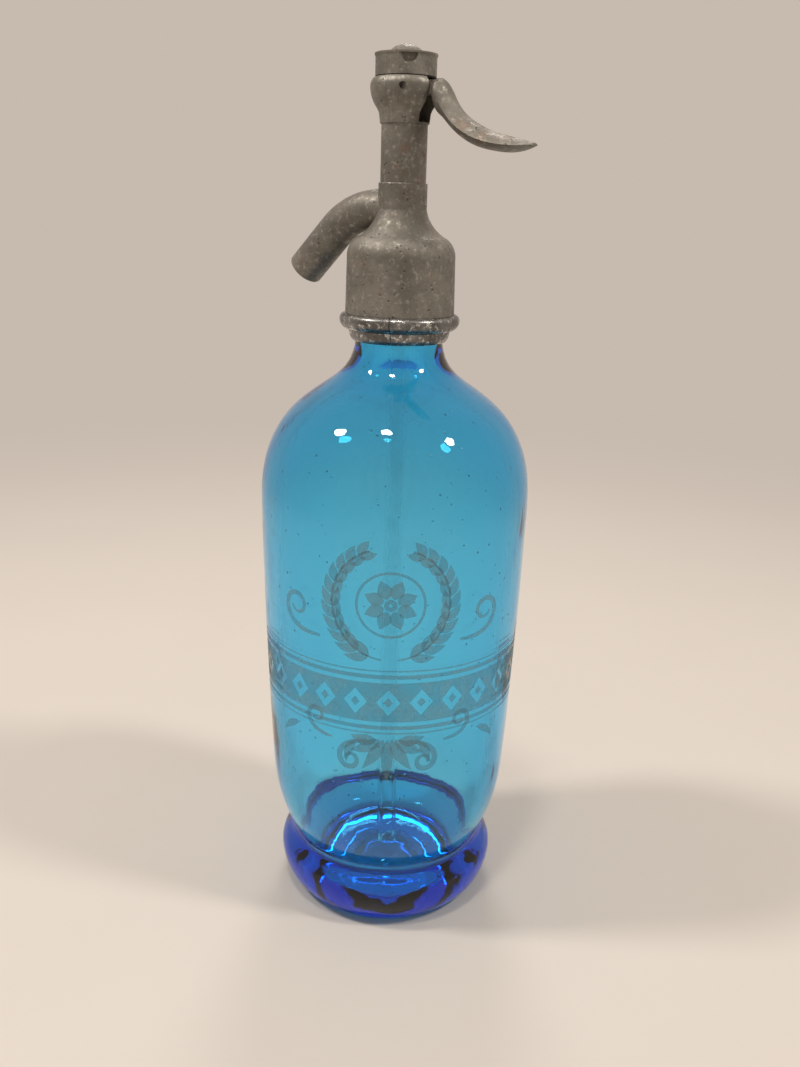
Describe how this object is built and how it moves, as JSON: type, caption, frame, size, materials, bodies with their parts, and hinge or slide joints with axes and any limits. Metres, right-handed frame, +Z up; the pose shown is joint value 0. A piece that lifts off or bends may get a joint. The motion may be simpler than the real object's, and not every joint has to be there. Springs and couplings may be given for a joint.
{
  "type": "soda siphon",
  "caption": "Old soda siphon: a thick blue glass bottle with a pewter head, a bent spout and a thumb lever that opens its valve.",
  "frame": {"origin": "middle of the bottle's foot on the table", "axes": "+Z up along the bottle; the lever points along +X and the spout along -X"},
  "size_m": [0.104, 0.104, 0.33],
  "materials": {
    "glass_blue": "clear thick blue glass",
    "pewter": "dull worn pewter",
    "pewter_bright": "worn bright tin",
    "brass": "dull turned brass",
    "steel": "drawn steel",
    "rubber": "aged rubber",
    "tube_glass": "clear glass tube"
  },
  "bodies": {
    "root": {"glass_bottle": "glass_blue", "collar_half_front": "pewter_bright", "collar_half_back": "pewter_bright", "bell": "pewter", "spout": "pewter", "column": "pewter", "lever_housing": "pewter", "cap": "pewter", "pivot_pin": "steel", "gland_nut": "brass", "gland_packing": "rubber", "cap_washer": "rubber", "spring_washer": "steel", "lip_gasket": "rubber", "valve_seat": "brass", "seat_gasket": "rubber", "piston_spring": "steel", "tube_holder": "brass", "tube_gasket": "rubber", "dip_tube": "tube_glass"},
    "lever": {"lever": "pewter"},
    "piston": {"piston": "brass", "valve_disc": "rubber", "valve_holder": "brass", "valve_screw": "brass"}
  },
  "joints": [
    {"name": "lever_press", "type": "hinge", "parent": "root", "child": "lever", "pos_m": [0.0058, 0, 0.3156], "axis": [0, 1, 0], "range_deg": [0, 18], "stiffness_Nm_per_rad": 1, "springref_deg": -34.38},
    {"name": "piston_lift", "type": "slide", "parent": "root", "child": "piston", "axis": [0, 0, 1], "range_m": [0, 0.00182], "deforming": ["piston_spring"]}
  ],
  "couplings": [
    {"joint": "lever_press", "follows": "piston_lift", "rad_per_m": 172.41}
  ]
}
